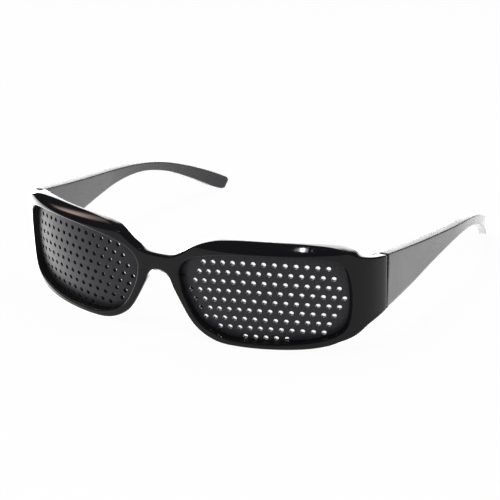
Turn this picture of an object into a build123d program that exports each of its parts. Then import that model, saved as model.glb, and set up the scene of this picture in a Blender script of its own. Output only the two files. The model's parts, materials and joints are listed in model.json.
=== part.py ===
from build123d import *
from math import asin, cos, degrees, hypot, radians, sin
import os

# Pinhole glasses, in millimetres. While they are made, the front stands upright: X runs from the wearer's
# right to the wearer's left, -Y is forwards, +Z is up, and the zero point is on the foremost line of the
# pinhole plates, at the fourth row of holes. At the end everything is leaned back onto a flat surface.

# Plan curve, measured on the front skin of the plates
bridge_half_width = 16.8
plate_plan_radius = 70.0
wrap_angle = 38.0
corner_radius = 23.0
seam_setback = 26.0

# Front frame
rim_front = 2.0
rim_back = 3.2
brow_height = 16.9
rim_drop = 19.5
bridge_top = 8.8
nose_arch_top = 2.9
seam_top = 10.3
seam_bottom = -8.8
end_piece_length = 20.0
end_piece_view_angle = 52.0
brow_bevel_start = 14.4
brow_bevel_depth = 4.3
bridge_back = 1.8
bridge_back_radius = 24.0

# Lens openings, laid out on a plane square to the middle of the lens
lens_centre_angle = 16.8
aperture_half_width = 28.6
aperture_half_height = 15.4
aperture_shift = -0.7
aperture_drop = -1.93
groove_depth = 1.3
groove_clearance = 0.1
plate_overlap = 1.1

# Pinhole plates
plate_thickness = 1.2
plate_height_radius = 130.0
hole_radius = 0.78
hole_pitch = 3.45
row_pitch = 3.28
row_arch_radius = 145.0
middle_row = 4
row_counts = [13, 14, 15, 16, 15, 14, 13, 11, 5]
row_starts = [1.5, 1.0, 0.5, 0.0, 0.5, 1.0, 1.5, 3.0, 5.5]
widest_row_share = 0.5

# Nose pads, moulded on the back of the rims
pad_width = 1.4
pad_reach = 2.2
pad_root = 1.5
pad_flare_angle = 28.0

# Temples
temple_thickness = 3.4
temple_splay = 0.05
temple_straight_end = 70.0
temple_curl_radius = 204.0
temple_length = 120.8
temple_tip_drop = 30.4
temple_tip_height = 6.2
temple_tip_radius = 1.6
temple_edge_radius = 0.7
seam_gap_top = 0.8
seam_gap_bottom = 0.12

# Hinges
axis_inset = 6.3
axis_lead = 0.1
hinge_height = 0.7
knuckle_radius = 1.6
knuckle_length = 1.6
knuckle_count = 5
knuckle_gap = 0.06
screw_radius = 0.7
screw_hold_clearance = 0.02
screw_run_clearance = 0.05
screw_head_radius = 1.25
screw_head_height = 0.6
screw_slot_width = 0.35
screw_slot_depth = 0.3
leaf_thickness = 0.9
leaf_length = 8.4
leaf_height = 8.4
front_leaf_width = 4.2
stub_width = 2.2
stub_length = 2.4
stub_height = 3.0
neck_width = 2.4
hinge_gap = 0.3
boss_reach = 2.7
boss_length = 6.0
boss_height = 10.4
notch_depth = 2.0
notch_margin = 0.9
fit_gap = 0.02

# Working reach of the cutting and trimming solids
overrun = 60.0

# Turn of the sheets about the lens axis that the plates, the groove and the brow bevel are cut from
sheet_turn_angle = 90.0

# Outline tables, as shares of the sizes named beside their use
aperture_shares = [
    (-0.948, 0.586), (-0.874, 0.706), (-0.77, 0.794), (-0.5, 0.924), (-0.182, 0.989), (0.2, 0.995),
    (0.531, 0.956), (0.818, 0.859), (0.901, 0.762), (0.949, 0.645), (0.981, 0.418), (1.0, 0.03),
    (0.988, -0.394), (0.956, -0.589), (0.884, -0.758), (0.751, -0.868), (0.514, -0.946), (0.167, -0.998),
    (-0.147, -1.0), (-0.4, -0.98), (-0.643, -0.842), (-0.763, -0.693), (-0.854, -0.475), (-0.961, -0.05),
    (-1.0, 0.294), (-0.994, 0.418),
]
brow_shares = [
    (0.076, 0.05), (0.129, 0.26), (0.213, 0.71), (0.286, 0.89), (0.35, 0.955), (0.471, 1.0), (0.637, 0.99),
    (0.743, 0.94), (0.834, 0.83), (0.943, 0.7), (1.09, 0.63),
]
nose_shares = [
    (0.03, 0.013), (0.059, 0.098), (0.075, 0.219), (0.099, 0.362), (0.125, 0.509), (0.156, 0.665),
    (0.189, 0.786), (0.247, 0.906), (0.315, 0.978), (0.4, 1.0), (0.6, 1.0), (0.737, 0.982), (0.817, 0.942),
    (0.943, 0.9), (1.09, 0.88),
]
end_top_shares = [
    (-0.3, 0.0), (0.03, 0.015), (0.32, 0.15), (0.555, 0.34), (0.725, 0.57), (0.93, 0.79), (1.37, 1.4),
]
end_bottom_shares = [(-0.3, -0.2), (0.0, 0.0), (0.33, 0.3), (0.6, 0.617), (0.93, 0.825), (1.37, 1.1)]
temple_top_shares = [
    (0.2, 0.14), (0.4, 0.27), (0.555, 0.375), (0.682, 0.495), (0.802, 0.667), (0.916, 0.868), (1.0, 1.045),
]
temple_bottom_shares = [
    (0.157, 0.045), (0.3, 0.12), (0.442, 0.16), (0.579, 0.09), (0.705, -0.14), (0.823, -0.49),
    (0.935, -0.88), (0.975, -0.99),
]
# Steps in which the lean of the resting glasses is found
lean_rounds = 5

# How much longer the curled strip of a temple is made than what its side view keeps
curl_surplus_share = 1.2

lens_axis = (bridge_half_width, plate_plan_radius)


def plan_point(outward, angle):
    """A point of the plan curve, grown outwards, where the curve has turned by the angle."""
    turn = radians(angle)
    bend = min(turn, radians(wrap_angle))
    if angle <= wrap_angle:
        reach = plate_plan_radius + outward
        return (lens_axis[0] + reach * sin(turn), lens_axis[1] - reach * cos(turn))
    step = plate_plan_radius - corner_radius
    centre = (lens_axis[0] + step * sin(bend), lens_axis[1] - step * cos(bend))
    reach = corner_radius + outward
    return (centre[0] + reach * sin(turn), centre[1] - reach * cos(turn))


def plan_arcs(outward):
    """The bridge line, lens arc and corner arc of the plan curve, grown outwards."""
    middle = plan_point(outward, wrap_angle / 2)
    bend = plan_point(outward, wrap_angle)
    corner = plan_point(outward, (wrap_angle + 90) / 2)
    side = plan_point(outward, 90)
    return [
        Line((0, -outward), (lens_axis[0], -outward)),
        ThreePointArc((lens_axis[0], -outward), middle, bend),
        ThreePointArc(bend, corner, side),
    ]


def seam_x(outward):
    """Where the grown plan curve meets the seam between the front and the temple."""
    step = plate_plan_radius - corner_radius
    centre = (lens_axis[0] + step * sin(radians(wrap_angle)), lens_axis[1] - step * cos(radians(wrap_angle)))
    height = centre[1] - seam_setback
    reach = corner_radius + outward
    return centre[0] + (reach ** 2 - height ** 2) ** 0.5


def grown(points, distance):
    """The points of a closed outline that runs clockwise, moved outwards by a distance."""
    moved = []
    for index, point in enumerate(points):
        before = points[index - 1]
        after = points[(index + 1) % len(points)]
        run = (after[0] - before[0], after[1] - before[1])
        size = hypot(*run)
        moved.append((point[0] - distance * run[1] / size, point[1] + distance * run[0] / size))
    return moved


def lens_plane():
    """The upright plane through the middle of the lens, with its X along the lens and its Y up."""
    angle = radians(lens_centre_angle)
    place = plan_point(rim_front, lens_centre_angle)
    return Plane(origin=(*place, 0), x_dir=(cos(angle), sin(angle), 0), z_dir=(sin(angle), -cos(angle), 0))


def aperture_prism(distance):
    """The lens opening, grown by a distance and run through the front."""
    points = [
        (aperture_shift + aperture_half_width * across, aperture_drop + aperture_half_height * up)
        for across, up in aperture_shares
    ]
    # The outline is listed clockwise, so that growing moves each point outwards
    edge = Spline(*grown(points, distance), periodic=True)
    return extrude(lens_plane() * make_face(edge), amount=overrun / 2, both=True)


def turned_sheet(outline):
    """An outline of radius and height, turned about the lens axis across the whole lens."""
    start = Rot(0, 0, lens_centre_angle - 90 - sheet_turn_angle / 2) * (Plane.XZ * outline)
    return Pos(*lens_axis, 0) * revolve(start, axis=Axis.Z, revolution_arc=sheet_turn_angle)


def plate_shell(extra):
    """The doubly curved sheet of a plate, with extra thickness on both skins."""
    top = 2 * aperture_half_height
    front = plate_plan_radius + extra
    back = plate_plan_radius - plate_thickness - extra
    drop = plate_height_radius - (plate_height_radius ** 2 - top ** 2) ** 0.5
    outline = make_face([
        ThreePointArc((front - drop, -top), (front, 0), (front - drop, top)),
        Line((front - drop, top), (back - drop, top)),
        ThreePointArc((back - drop, top), (back, 0), (back - drop, -top)),
        Line((back - drop, -top), (front - drop, -top)),
    ])
    return turned_sheet(outline)


def bar(low, high):
    """A straight-sided block between two opposite corners."""
    size = [high[i] - low[i] for i in range(3)]
    middle = [(high[i] + low[i]) / 2 for i in range(3)]
    return Pos(*middle) * Box(*size)


def half_front():
    """The left half of the front: rim, half bridge, end piece and nose pad."""
    wall_edges = plan_arcs(rim_front) + plan_arcs(-rim_back)
    wall_edges.append(Line((0, -rim_front), (0, rim_back)))
    wall_edges.append(Line(plan_point(rim_front, 90), plan_point(-rim_back, 90)))
    wall = extrude(make_face(wall_edges), amount=overrun, both=True)

    half_width = seam_x(rim_front)
    top = [(half_width * across, bridge_top + (brow_height - bridge_top) * up) for across, up in brow_shares]
    low = [(half_width * across, nose_arch_top - (rim_drop + nose_arch_top) * down) for across, down in nose_shares]
    # Each line starts a little past the middle, as a mirror image, so that the two halves meet smoothly
    top = [(-x, z) for x, z in top[1::-1]] + [(0, bridge_top)] + top
    low = [(-x, z) for x, z in low[1::-1]] + [(0, nose_arch_top)] + low
    face = make_face([Spline(*top), Spline(*low), Line(top[-1], low[-1]), Line(top[0], low[0])])
    front_view = extrude(Plane.XZ.offset(-overrun) * face, amount=2 * overrun)

    # The end piece is trimmed in a view square to the middle of its corner
    view = radians(end_piece_view_angle)
    seam_across = half_width * cos(view) + seam_setback * sin(view)
    top = [(seam_across - end_piece_length * back, seam_top + (brow_height - seam_top) * up)
           for back, up in end_top_shares]
    low = [(seam_across - end_piece_length * back, seam_bottom - (rim_drop + seam_bottom) * down)
           for back, down in end_bottom_shares]
    inner_top = (-overrun, top[-1][1] + overrun / 2)
    inner_low = (-overrun, low[-1][1] - overrun / 2)
    end_face = make_face([
        Spline(*top), Spline(*low), Line(top[0], low[0]), Line(top[-1], inner_top), Line(inner_top, inner_low),
        Line(inner_low, low[-1]),
    ])
    view_plane = Plane(origin=(0, 0, 0), x_dir=(cos(view), sin(view), 0), z_dir=(sin(view), -cos(view), 0))
    end_view = extrude(view_plane * end_face, amount=2 * overrun, both=True)
    behind_seam = bar((-overrun, seam_setback, -overrun), (2 * overrun, 2 * overrun, overrun))
    half = wall & front_view & end_view
    half = half - behind_seam

    # The bridge is thinner than the rims, scooped out from behind
    scoop = Cylinder(bridge_back_radius, 2 * overrun)
    half = half - Pos(0, bridge_back + bridge_back_radius, 0) * scoop

    # The brow leans back above the bevel line
    skin = plate_plan_radius + rim_front
    rise = brow_height - brow_bevel_start
    over = make_face(Polyline(
        (skin, brow_bevel_start), (skin - 2 * brow_bevel_depth, brow_bevel_start + 2 * rise),
        (skin + 2 * rise, brow_bevel_start + 2 * rise), (skin + 2 * rise, brow_bevel_start), close=True,
    ))
    return half - turned_sheet(over)


def hinge_axis():
    """Plan position of the left hinge's upright axis."""
    return (seam_x(rim_front) - axis_inset, seam_setback - axis_lead)


def hinge_span():
    """Half the height of the stack of knuckles."""
    return knuckle_count * knuckle_length / 2


def pinhole_plate():
    """The left plate, with its holes all drilled the same way, square to the middle of the lens."""
    plate = plate_shell(0) & aperture_prism(plate_overlap)
    drills = []
    widest = (max(row_counts) - 1) * widest_row_share
    for row, (count, start) in enumerate(zip(row_counts, row_starts)):
        for index in range(count):
            across = (start + index - widest) * hole_pitch
            sag = row_arch_radius - (row_arch_radius ** 2 - across ** 2) ** 0.5
            up = (middle_row - 1 - row) * row_pitch - sag
            place = plan_point(0, lens_centre_angle + degrees(across / plate_plan_radius))
            drill = Cylinder(hole_radius, 4 * plate_thickness, rotation=(90, 0, 0))
            drills.append(Pos(*place, up) * Rot(0, 0, lens_centre_angle) * drill)
    return plate - drills


def nose_pad():
    """The left pad: a strip of the rim's nose side, run backwards and outwards."""
    half_width = seam_x(rim_front)
    drop = rim_drop + nose_arch_top
    edge = [(half_width * across, nose_arch_top - drop * down) for across, down in nose_shares[2:6]]
    inner = [(x + pad_width, z + pad_width / 2) for x, z in edge]
    outline = make_face([
        Spline(*edge), Spline(*inner), Line(edge[0], inner[0]), Line(edge[-1], inner[-1]),
    ])
    flare = radians(pad_flare_angle)
    base = Plane(origin=(0, rim_back - pad_root, 0), x_dir=(1, 0, 0), z_dir=(0, -1, 0))
    return extrude(base * outline, amount=pad_root + pad_reach, dir=(sin(flare), cos(flare), 0))


def knuckle_bounds(index):
    """Lower and upper height of one knuckle, with the gap shared with its neighbours."""
    low = hinge_height - hinge_span() + index * knuckle_length
    return low + knuckle_gap / 2, low + knuckle_length - knuckle_gap / 2


def front_leaf():
    """The left hinge leaf in the front: plate, stub, necks and every other knuckle."""
    x, y = hinge_axis()
    face = y - knuckle_radius - hinge_gap
    half = leaf_height / 2
    leaf = bar((x - front_leaf_width / 2, face - leaf_thickness, hinge_height - half),
               (x + front_leaf_width / 2, face, hinge_height + half))
    leaf += bar((x - stub_width / 2, face - leaf_thickness - stub_length, hinge_height - stub_height / 2),
                (x + stub_width / 2, face - leaf_thickness, hinge_height + stub_height / 2))
    for index in range(0, knuckle_count, 2):
        low, high = knuckle_bounds(index)
        leaf += Pos(x, y, (low + high) / 2) * Cylinder(knuckle_radius, high - low)
        leaf += bar((x - neck_width / 2, face - leaf_thickness, low), (x + neck_width / 2, y, high))
    bore = screw_radius + screw_hold_clearance
    return leaf - Pos(x, y, hinge_height) * Cylinder(bore, 2 * leaf_height)


def temple_leaf():
    """The left hinge leaf in the temple: plate, arm and the knuckles between the front's."""
    x, y = hinge_axis()
    inner = seam_x(rim_front) - temple_thickness
    start = y + hinge_gap + axis_lead
    half = leaf_height / 2
    leaf = bar((inner, start, hinge_height - half),
               (inner + leaf_thickness, start + leaf_length, hinge_height + half))
    for index in range(1, knuckle_count, 2):
        low, high = knuckle_bounds(index)
        leaf += Pos(x, y, (low + high) / 2) * Cylinder(knuckle_radius, high - low)
        leaf += bar((x, start, low), (inner + leaf_thickness, start + neck_width, high))
        leaf += bar((x - neck_width / 2, y, low), (x + neck_width / 2, start + neck_width, high))
    bore = screw_radius + screw_run_clearance
    return leaf - Pos(x, y, hinge_height) * Cylinder(bore, 2 * leaf_height)


def hinge_screw():
    """The left screw: a shaft through the knuckles under a slotted head."""
    x, y = hinge_axis()
    low, _ = knuckle_bounds(0)
    _, high = knuckle_bounds(knuckle_count - 1)
    shaft = Pos(x, y, (low + high) / 2) * Cylinder(screw_radius, high - low)
    head = Pos(x, y, high + screw_head_height / 2) * Cylinder(screw_head_radius, screw_head_height)
    slot = bar((x - 2 * screw_head_radius, y - screw_slot_width / 2, high + screw_head_height - screw_slot_depth),
               (x + 2 * screw_head_radius, y + screw_slot_width / 2, high + 2 * screw_head_height))
    return shaft + head - slot


def front_frame():
    """Both rims, the bridge, the end pieces and the nose pads, in one moulding."""
    half = half_front()
    x, y = hinge_axis()
    face = y - knuckle_radius - hinge_gap
    middle = hinge_height
    boss_low = middle - boss_height / 2
    half += bar((x - boss_reach, face - boss_length, boss_low), (x, face, boss_low + boss_height))
    half += nose_pad()
    half -= plate_shell(groove_clearance) & aperture_prism(groove_depth)
    half -= aperture_prism(0)
    # A notch behind the boss leaves the knuckles room inside the end piece
    reach = hinge_span() + screw_head_height + notch_margin
    half -= bar((x - 2 * boss_reach, face, middle - reach),
                (x + notch_depth, seam_setback + boss_length, middle + reach))
    sunk = face - leaf_thickness - fit_gap
    half -= bar((x - front_leaf_width / 2 - fit_gap, sunk, middle - leaf_height / 2 - fit_gap),
                (x + front_leaf_width / 2 + fit_gap, face + fit_gap, middle + leaf_height / 2 + fit_gap))
    half -= bar((x - stub_width / 2 - fit_gap, sunk - stub_length, middle - stub_height / 2 - fit_gap),
                (x + stub_width / 2 + fit_gap, face, middle + stub_height / 2 + fit_gap))
    return half + mirror(half, about=Plane.YZ)


def temple():
    """The left temple: a curled strip in plan, trimmed to its side view."""
    start = (seam_x(rim_front), seam_setback)
    run = temple_straight_end - seam_setback
    turn = (start[0] + temple_splay * run, temple_straight_end)
    size = hypot(1, temple_splay)
    centre = (turn[0] - temple_curl_radius / size, turn[1] + temple_curl_radius * temple_splay / size)
    lead = degrees(asin(temple_splay / size))

    def curl_point(inset, angle):
        reach = temple_curl_radius - inset
        swing = radians(angle - lead)
        return (centre[0] + reach * cos(swing), centre[1] + reach * sin(swing))

    inner_start = (start[0] - temple_thickness, seam_setback)
    tip = curl_surplus_share * degrees(asin((temple_length - run) / temple_curl_radius))
    strip = make_face([
        Line(start, curl_point(0, 0)),
        ThreePointArc(curl_point(0, 0), curl_point(0, tip / 2), curl_point(0, tip)),
        Line(curl_point(0, tip), curl_point(temple_thickness, tip)),
        ThreePointArc(curl_point(temple_thickness, tip), curl_point(temple_thickness, tip / 2),
                      curl_point(temple_thickness, 0)),
        Line(curl_point(temple_thickness, 0), inner_start),
        Line(inner_start, start),
    ])
    strip = extrude(strip, amount=overrun, both=True)

    fall = seam_top + temple_tip_drop - temple_tip_height
    top = [(seam_setback + temple_length * back, seam_top - fall * down) for back, down in temple_top_shares]
    fall = temple_tip_drop + seam_bottom
    low = [(seam_setback + temple_length * back, seam_bottom + fall * up) for back, up in temple_bottom_shares]
    head_top = (seam_setback + seam_gap_top, seam_top)
    head_low = (seam_setback + seam_gap_bottom, seam_bottom)
    side = make_face([
        Spline(head_top, *top), Spline(head_low, *low), Line(head_top, head_low), Line(top[-1], low[-1]),
    ])
    tip_corners = side.vertices().sort_by(Axis.X)[-2:]
    side = fillet(tip_corners, temple_tip_radius)
    side = extrude(Plane.YZ * side, amount=2 * overrun, both=True)
    body = strip & side
    long_edges = body.edges().filter_by(lambda edge: edge.length > temple_length / 4)
    return fillet(long_edges, temple_edge_radius)


def resting_lean(front, arm):
    """The lean, in degrees, that brings the rims and the temple tips down onto one level."""
    lean = 0
    for _ in range(lean_rounds):
        rim_low = (Rot(lean, 0, 0) * front).bounding_box().min.Z
        tip_low = (Rot(lean, 0, 0) * arm).bounding_box().min.Z
        lean += degrees((rim_low - tip_low) / (temple_length + seam_setback))
    return lean


if __name__ == "__main__":
    os.makedirs("parts", exist_ok=True)
    left = {
        "pinhole_plate": pinhole_plate(),
        "temple": temple(),
        "front_hinge_leaf": front_leaf(),
        "temple_hinge_leaf": temple_leaf(),
        "hinge_screw": hinge_screw(),
    }
    left["temple"] -= left["temple_hinge_leaf"]
    pieces = {"front_frame": front_frame()}
    for name, piece in left.items():
        pieces["left_" + name] = piece
        pieces["right_" + name] = mirror(piece, about=Plane.YZ)
    lean = resting_lean(pieces["front_frame"], pieces["left_temple"])
    leaned = {name: Rot(lean, 0, 0) * piece for name, piece in pieces.items()}
    boxes = [piece.bounding_box() for piece in leaned.values()]
    floor = min(box.min.Z for box in boxes)
    middle = (min(box.min.Y for box in boxes) + max(box.max.Y for box in boxes)) / 2
    for name, piece in leaned.items():
        export_step(Pos(0, -middle, -floor) * piece, os.path.join("parts", name + ".step"))
    print("lean", lean, "shift", -middle, -floor, "hinge axis", hinge_axis())
    for name in ("front_frame", "left_temple"):
        print(name, "stands", leaned[name].bounding_box().min.Z - floor, "above the surface")
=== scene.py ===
import json
from math import asin, atan2, cos, pi, radians, sin, sqrt, tan

import bmesh
import bpy
from mathutils import Matrix, Vector
from mathutils.geometry import interpolate_bezier, intersect_line_line_2d, intersect_point_line


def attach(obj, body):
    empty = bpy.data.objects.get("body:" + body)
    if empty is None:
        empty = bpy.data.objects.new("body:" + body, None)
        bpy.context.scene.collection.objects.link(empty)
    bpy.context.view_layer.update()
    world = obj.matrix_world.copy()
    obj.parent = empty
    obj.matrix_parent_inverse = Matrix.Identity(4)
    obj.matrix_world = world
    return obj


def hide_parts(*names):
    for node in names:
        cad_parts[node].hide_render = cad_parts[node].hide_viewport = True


bl_info = {
    "name": "Pinhole glasses",
    "version": (1, 0, 0),
    "blender": (4, 5, 0),
    "location": "3D View > Sidebar > Glasses",
    "description": "Finishes the packed pinhole glasses: front, plates, temples, hinges and studio",
    "category": "Object",
}

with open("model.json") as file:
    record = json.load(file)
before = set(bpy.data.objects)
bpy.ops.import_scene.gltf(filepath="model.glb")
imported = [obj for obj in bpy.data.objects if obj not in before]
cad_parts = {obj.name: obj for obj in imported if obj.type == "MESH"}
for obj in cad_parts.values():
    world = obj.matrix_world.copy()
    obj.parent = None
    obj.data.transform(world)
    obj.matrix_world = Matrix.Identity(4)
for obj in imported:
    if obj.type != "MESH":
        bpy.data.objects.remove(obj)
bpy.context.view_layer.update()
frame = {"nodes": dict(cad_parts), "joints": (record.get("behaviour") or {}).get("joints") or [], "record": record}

SIDES = {"left": 1, "right": -1}

# Outlines of the front and the temples, as shares of the sizes named where they are used. The front's are
# read in a straight front view, and past the lens in a view square to the end piece.
brow_shares = [
    (0.0, 0.0), (0.076, 0.05), (0.129, 0.26), (0.213, 0.71), (0.286, 0.89), (0.35, 0.955), (0.471, 1.0),
    (0.637, 0.99), (0.743, 0.94),
]
end_top_shares = [(0.93, 0.79), (0.725, 0.57), (0.555, 0.34), (0.32, 0.15), (0.03, 0.015), (0.0, 0.0)]
nose_shares = [
    (0.0, 0.0), (0.03, 0.013), (0.059, 0.098), (0.075, 0.219), (0.099, 0.362), (0.125, 0.509),
    (0.156, 0.665), (0.189, 0.786), (0.247, 0.906), (0.315, 0.978), (0.4, 1.0), (0.6, 1.0),
    (0.737, 0.982), (0.817, 0.942),
]
end_bottom_shares = [(0.93, 0.825), (0.6, 0.617), (0.33, 0.3), (0.0, 0.0)]
aperture_shares = [
    (-0.948, 0.586), (-0.874, 0.706), (-0.77, 0.794), (-0.5, 0.924), (-0.182, 0.989), (0.2, 0.995),
    (0.531, 0.956), (0.818, 0.859), (0.901, 0.762), (0.949, 0.645), (0.981, 0.418), (1.0, 0.03),
    (0.988, -0.394), (0.956, -0.589), (0.884, -0.758), (0.751, -0.868), (0.514, -0.946), (0.167, -0.998),
    (-0.147, -1.0), (-0.4, -0.98), (-0.643, -0.842), (-0.763, -0.693), (-0.854, -0.475), (-0.961, -0.05),
    (-1.0, 0.294), (-0.994, 0.418),
]
temple_top_shares = [
    (0.2, 0.14), (0.4, 0.27), (0.555, 0.375), (0.682, 0.495), (0.802, 0.667), (0.916, 0.868), (1.0, 1.045),
]
temple_bottom_shares = [
    (0.157, 0.045), (0.3, 0.12), (0.442, 0.16), (0.579, 0.09), (0.705, -0.14), (0.823, -0.49),
    (0.935, -0.88), (0.975, -0.99),
]


def length(note, default):
    """A size in metres that the panel shows as a length."""
    return bpy.props.FloatProperty(description=note, default=default, precision=5, unit="LENGTH")


def turn(note, default):
    """An angle, given in degrees."""
    return bpy.props.FloatProperty(description=note, default=radians(default), unit="ROTATION")


def tint(note, default):
    """A linear colour."""
    return bpy.props.FloatVectorProperty(
        description=note, default=default, size=3, min=0, max=1, subtype="COLOR"
    )


def amount(note, default):
    """A plain number."""
    return bpy.props.FloatProperty(description=note, default=default, precision=4)


def labelled(group):
    """Names each property of a group after its attribute."""
    for attribute, item in group.__annotations__.items():
        item.keywords.update(name=attribute.replace("_", " ").capitalize())
    return group


@labelled
class FrontSizes(bpy.types.PropertyGroup):
    """Sizes of the front, which stands upright while it is made."""

    bridge_half_width: length("From the middle to where the lens curve starts", 0.0168)
    lens_radius: length("Plan radius of the plates' front skin", 0.070)
    wrap_angle: turn("Turn of the lens curve up to the corner", 38.0)
    corner_radius: length("Plan radius of the corner before the end piece", 0.023)
    seam_setback: length("From the plates' foremost line back to the temples", 0.026)
    rim_front: length("How far the rims stand in front of the plates", 0.0020)
    rim_back: length("How far the rims reach behind the plates' skin", 0.0032)
    brow_height: length("Top of the brow above the fourth row of holes", 0.0169)
    rim_drop: length("Bottom of the rims below the fourth row of holes", 0.0195)
    bridge_top: length("Top of the bridge", 0.0088)
    nose_arch_top: length("Top of the arch over the nose", 0.0029)
    seam_top: length("Top of the end piece at the seam", 0.0103)
    seam_bottom: length("Bottom of the end piece at the seam", -0.0088)
    end_piece_length: length("Length of the end piece in its own view", 0.020)
    end_piece_view: turn("View that the end piece is outlined in", 52.0)
    ridge_height: length("Where the brow starts to lean back", 0.0144)
    ridge_lip: length("Least face between a lens opening and the ridge", 0.0005)
    ridge_softness: length("Rounding of the ridge", 0.0004)
    brow_depth: length("How far the top of the brow leans back", 0.0043)
    lens_centre: turn("Angle of the middle of the lens on the plan curve", 16.8)
    aperture_half_width: length("Half the width of a lens opening", 0.0286)
    aperture_half_height: length("Half the height of a lens opening", 0.0154)
    aperture_shift: length("Sideways place of a lens opening", -0.0007)
    aperture_drop: length("Height of the middle of a lens opening", -0.00193)
    groove_depth: length("Depth of the groove that holds a plate", 0.0013)
    groove_clearance: length("Gap on each side of a plate in its groove", 0.0001)
    plate_thickness: length("Thickness of a plate", 0.0012)
    plate_height_radius: length("Radius of a plate's curve from top to bottom", 0.130)
    opening_round: length("Rounding of a lens opening's front edge", 0.0006)
    rim_round: length("Rounding of the rims' outer front edge", 0.0009)
    brow_round: length("Rounding of the brow's upper front edge", 0.00012)
    bridge_round: length("Rounding of the bridge's front edges", 0.0010)
    end_round: length("Rounding of the end piece's upper front edge", 0.0006)
    seam_round: length("Rounding of the end piece's edges at the seam", 0.0003)
    back_round: length("Rounding of the edges behind", 0.0004)
    bridge_back_round: length("Rounding of the bridge's upper edge behind", 0.0024)
    end_back_round: length("Rounding of the end piece's upper edge behind", 0.0030)
    bridge_back: length("Reach of the bridge's middle behind the plates' skin", 0.0018)
    bridge_scoop: length("Radius of the hollow behind the bridge", 0.024)
    end_back: length("Reach of the end piece behind the plates' skin at the seam", 0.0022)
    straight_walls: length("Where the walls stop running straight back", 0.008)
    turning_walls: length("Stretch over which the walls turn square to the lens", 0.026)
    wall_slant: length("Inward slant of the opening's outer side", 0.0012)
    back_flare: length("Widening of the opening's nose side behind the plate", 0.00125)
    brow_crown: length("How much the leaning brow bulges", 0.00024)
    pad_width: length("Thickness of a nose pad", 0.0014)
    pad_reach: length("How far a nose pad stands behind the rim", 0.0022)
    pad_root: length("How deep a nose pad starts inside the rim", 0.0015)
    pad_flare: turn("Outward lean of a nose pad", 28.0)
    pad_round: length("Rounding of a nose pad's free end", 0.0006)
    pad_inset: length("How far a nose pad stands in from the rim's outline", 0.00012)
    boss_width: length("Width of the block that holds a hinge leaf", 0.0051)
    boss_inset: length("From the hinge axis in to the hinge block's inner side", 0.0027)
    boss_length: length("Length of the hinge block", 0.0060)
    boss_height: length("Height of the hinge block", 0.0104)
    boss_rounding: length("Rounding of the hinge block's edges", 0.00035)
    leaf_stand: length("How far a hinge leaf stands proud of its block", 0.00005)


@labelled
class TempleSizes(bpy.types.PropertyGroup):
    """Sizes of the temples."""

    thickness: length("Thickness of a temple", 0.0034)
    splay: amount("Outward slope of the straight stretch", 0.05)
    straight_end: length("Where the temple starts to curl inwards", 0.070)
    curl_radius: length("Plan radius of the curl", 0.204)
    reach: length("From the seam to the end of the temple", 0.1208)
    tip_drop: length("Tip's drop below the fourth row of holes", 0.0304)
    tip_height: length("Height of the tip", 0.0062)
    tip_radius: length("Rounding of the tip's corners", 0.0016)
    edge_radius: length("Rounding of the long edges", 0.00055)
    head_radius: length("Rounding of the edges at the seam", 0.00018)
    seam_gap_top: length("Gap between end piece and temple at the top", 0.0011)
    seam_gap_bottom: length("Gap between end piece and temple at the bottom", 0.00012)


@labelled
class HingeSizes(bpy.types.PropertyGroup):
    """Places of the hinges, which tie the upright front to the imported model."""

    axis_inset: length("From the skin at the seam in to the hinge axis", 0.0063)
    axis_lead: length("How far the axis lies in front of the seam", 0.0001)
    height: length("Height of the middle of the knuckles", 0.0007)
    knuckle_radius: length("Radius of the knuckles", 0.0016)
    gap: length("Gap between the knuckles and the leaf's face", 0.0003)


@labelled
class LookSettings(bpy.types.PropertyGroup):
    """Colours of the finishes."""

    front_black: tint("Polished plastic of the front", (0.0065, 0.0065, 0.0075))
    plate_grey: tint("Satin plastic of the pinhole plates", (0.025, 0.025, 0.031))
    temple_grey: tint("Satin plastic of the temples", (0.022, 0.021, 0.026))
    steel: tint("Plated steel of the hinge leaves", (0.56, 0.55, 0.53))
    screw_steel: tint("Plated steel of the screws", (0.66, 0.65, 0.64))


@labelled
class StudioSettings(bpy.types.PropertyGroup):
    """Camera, floor, lamp and surroundings."""

    camera_azimuth: turn("Towards the wearer's left, about the upright front", 29.33)
    camera_elevation: turn("Above the upright front", 23.90)
    camera_roll: turn("Turn about the line of sight", -1.81)
    camera_place: bpy.props.FloatVectorProperty(
        description="Place in the upright front's axes", size=3,
        default=(0.23671, -0.36076, 0.19930), subtype="TRANSLATION", unit="LENGTH",
    )
    focal_pixels: amount("In a frame of 500 by 500 pixels", 1436.0)
    floor_size: length("Side of the floor", 8.0)
    floor_shade: tint("Pale floor", (0.90, 0.90, 0.90))
    floor_glow: amount("Share of plain white that the camera sees in the floor", 0.95)
    sky_light: amount("Plain light from all round", 0.65)
    sweep_azimuth: turn("Middle of the bright sweep, from straight behind", -25.0)
    sweep_glow: amount("How bright the sweep behind shows in reflections", 0.5)
    room_glow: amount("How bright the rest of the studio shows in reflections", 0.35)
    back_glow: amount("How bright the softbox behind shows in reflections", 5.5)
    glint_glow: amount("How bright the lamp strip overhead shows in reflections", 75.0)
    warm_glow: amount("How bright the warm lamp at the side shows in reflections", 5.5)
    key_power: amount("Power of the main softbox in watts", 5.0)


def sizes():
    """The front's, temples' and hinges' sizes of the open scene."""
    scene = bpy.context.scene
    return scene.glasses_front, scene.glasses_temple, scene.glasses_hinge


# Lines and rings

def smooth_line(knots, per_span):
    """Points along a smooth curve through the knots. The first and last knots only steer its ends."""
    line = []
    for before, start, end, after in zip(knots, knots[1:], knots[2:], knots[3:]):
        reach = (end - start).length / 3
        leave = start + (end - before).normalized() * reach
        arrive = end - (after - start).normalized() * reach
        line += interpolate_bezier(start, leave, arrive, end, per_span + 1)[:-1]
    return line + [knots[-2]]


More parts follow.
